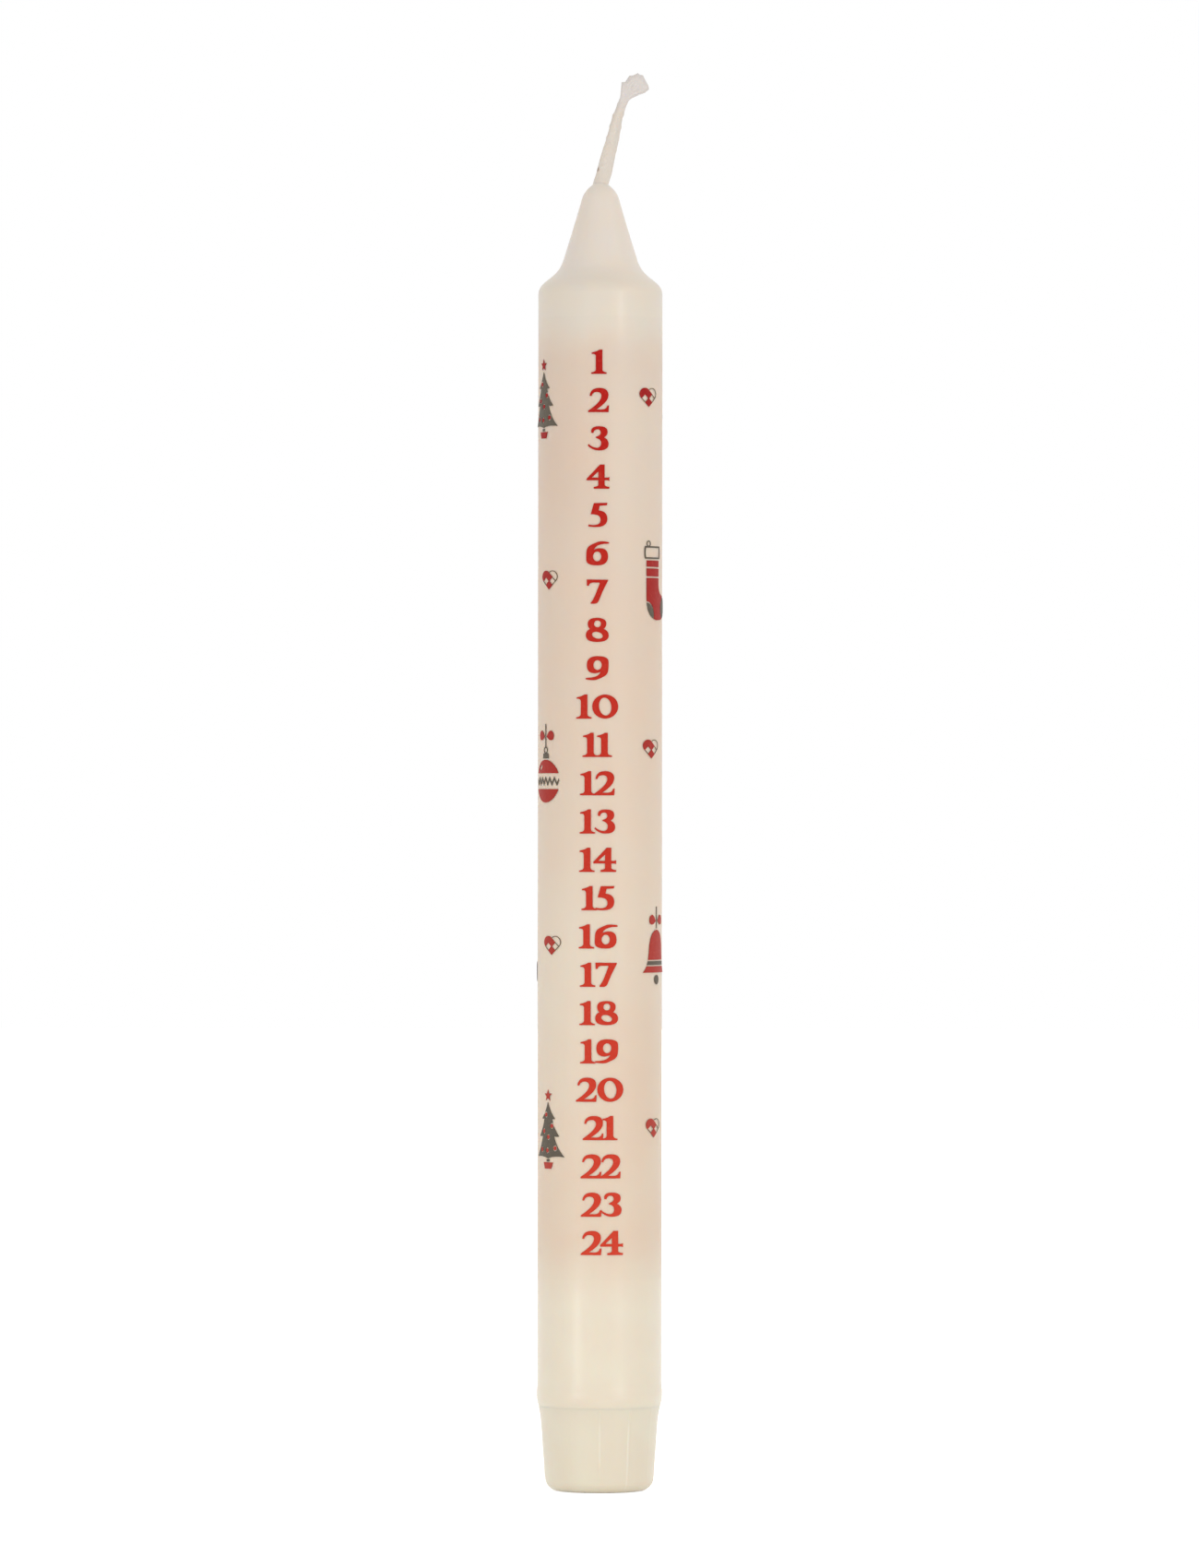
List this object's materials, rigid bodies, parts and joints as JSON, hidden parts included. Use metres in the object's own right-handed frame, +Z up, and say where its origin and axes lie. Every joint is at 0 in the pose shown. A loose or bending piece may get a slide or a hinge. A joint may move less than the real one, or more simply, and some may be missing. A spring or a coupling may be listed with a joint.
{
  "type": "calendar candle",
  "caption": "Tapered dinner candle whose printed sleeve counts down the days: it is burned past one number each day. Tapered ridged foot, braided wick, woven hearts and winter ornaments.",
  "frame": {"origin": "middle of the foot's flat underside", "axes": "+Z up along the candle to its wick; the column of numbers faces -Y; +X is to the right of someone who reads the numbers, and the wick leans that way"},
  "size_m": [0.0222, 0.0222, 0.2508],
  "materials": {
    "core_wax": "satin",
    "coat_wax": "satin",
    "braided_cotton": "waxed braid",
    "clear_film": "satin lacquer",
    "numeral_red": "printed ink",
    "ornament_red": "printed ink",
    "ornament_grey": "printed ink"
  },
  "bodies": {
    "root": {"wax_core": "core_wax", "dip_coat": "coat_wax", "wick": "braided_cotton", "print_sleeve": "clear_film", "numeral_01": "numeral_red", "numeral_02": "numeral_red", "numeral_03": "numeral_red", "numeral_04": "numeral_red", "numeral_05": "numeral_red", "numeral_06": "numeral_red", "numeral_07": "numeral_red", "numeral_08": "numeral_red", "numeral_09": "numeral_red", "numeral_10": "numeral_red", "numeral_11": "numeral_red", "numeral_12": "numeral_red", "numeral_13": "numeral_red", "numeral_14": "numeral_red", "numeral_15": "numeral_red", "numeral_16": "numeral_red", "numeral_17": "numeral_red", "numeral_18": "numeral_red", "numeral_19": "numeral_red", "numeral_20": "numeral_red", "numeral_21": "numeral_red", "numeral_22": "numeral_red", "numeral_23": "numeral_red", "numeral_24": "numeral_red", "woven_hearts_red": "ornament_red", "woven_hearts_outline": "ornament_grey", "fir_trees_red": "ornament_red", "fir_trees_grey": "ornament_grey", "stockings_red": "ornament_red", "stockings_grey": "ornament_grey", "baubles_red": "ornament_red", "baubles_grey": "ornament_grey", "bells_red": "ornament_red", "bells_grey": "ornament_grey"}
  },
  "joints": []
}
